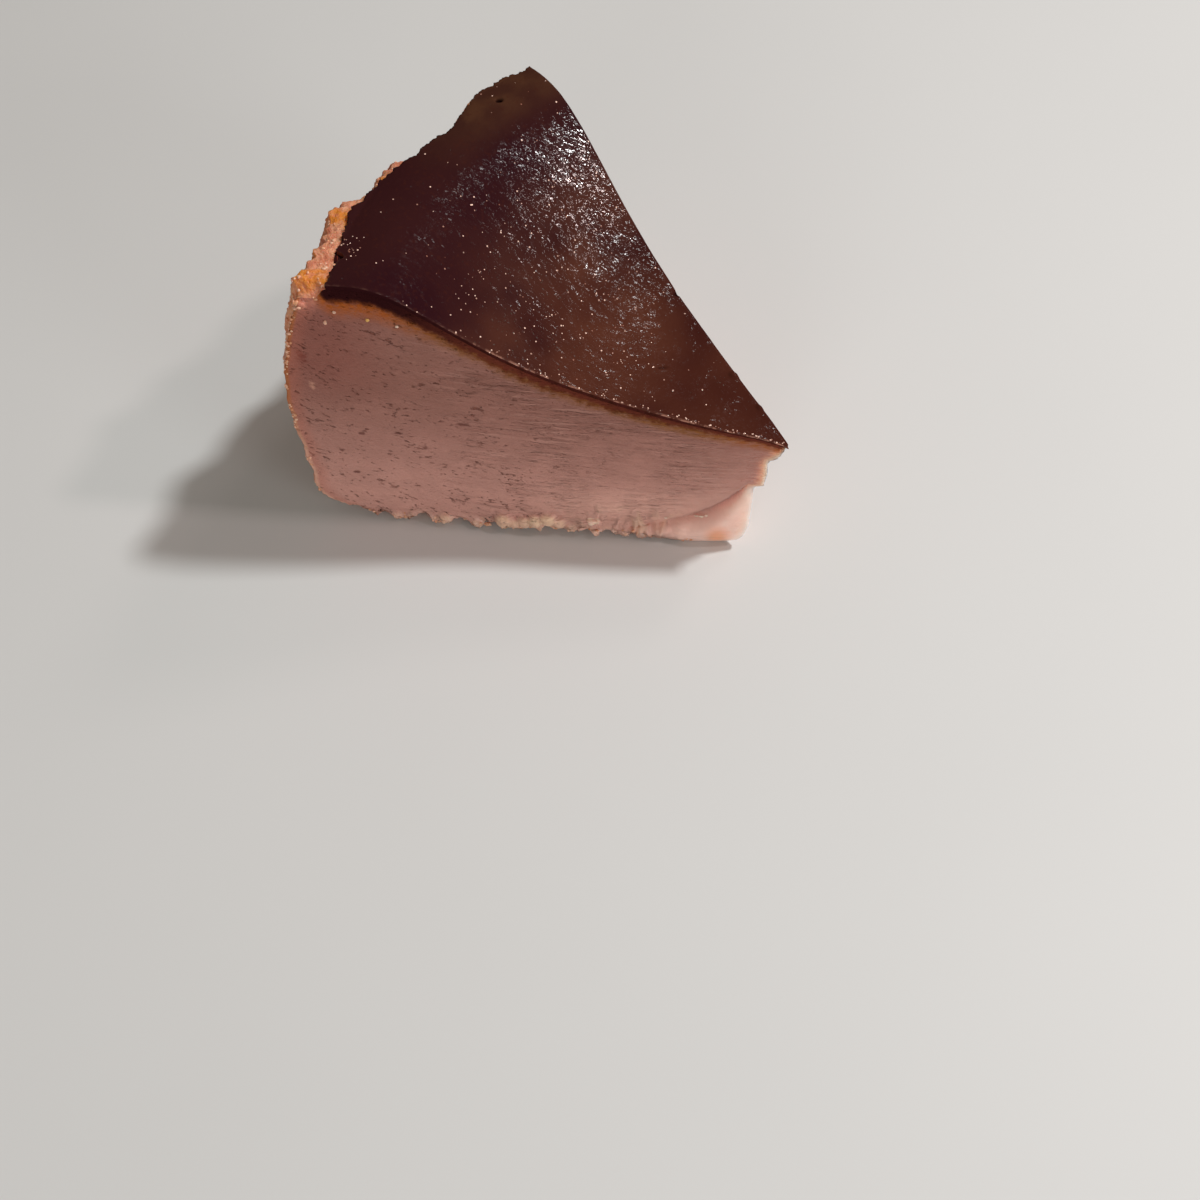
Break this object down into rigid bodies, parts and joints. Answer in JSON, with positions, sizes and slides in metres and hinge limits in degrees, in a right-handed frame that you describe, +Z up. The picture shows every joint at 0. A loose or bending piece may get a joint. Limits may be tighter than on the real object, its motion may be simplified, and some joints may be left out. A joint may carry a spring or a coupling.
{
  "type": "slice of basque burnt cheesecake",
  "caption": "Wedge-shaped slice of burnt cheesecake: dark sunken top rising to a torn pale rim, two flat cut faces, a creased baked wall and a broken tip with a foot.",
  "frame": {"origin": "middle of the bounding box on the plane that the base rests on", "axes": "+Z up; +X towards the tip of the wedge, along its longest extent; the front cut faces -Y and the back cut +Y"},
  "size_m": [0.0748, 0.0614, 0.0539],
  "materials": {
    "baked_cheesecake": "baked cheesecake: soft matt pinkish cream curd on the cuts, dark brown glossy burnt top with fine sparkles, toasted orange-brown rim and wall"
  },
  "bodies": {
    "root": {"cake_slice": "baked_cheesecake"}
  },
  "joints": []
}
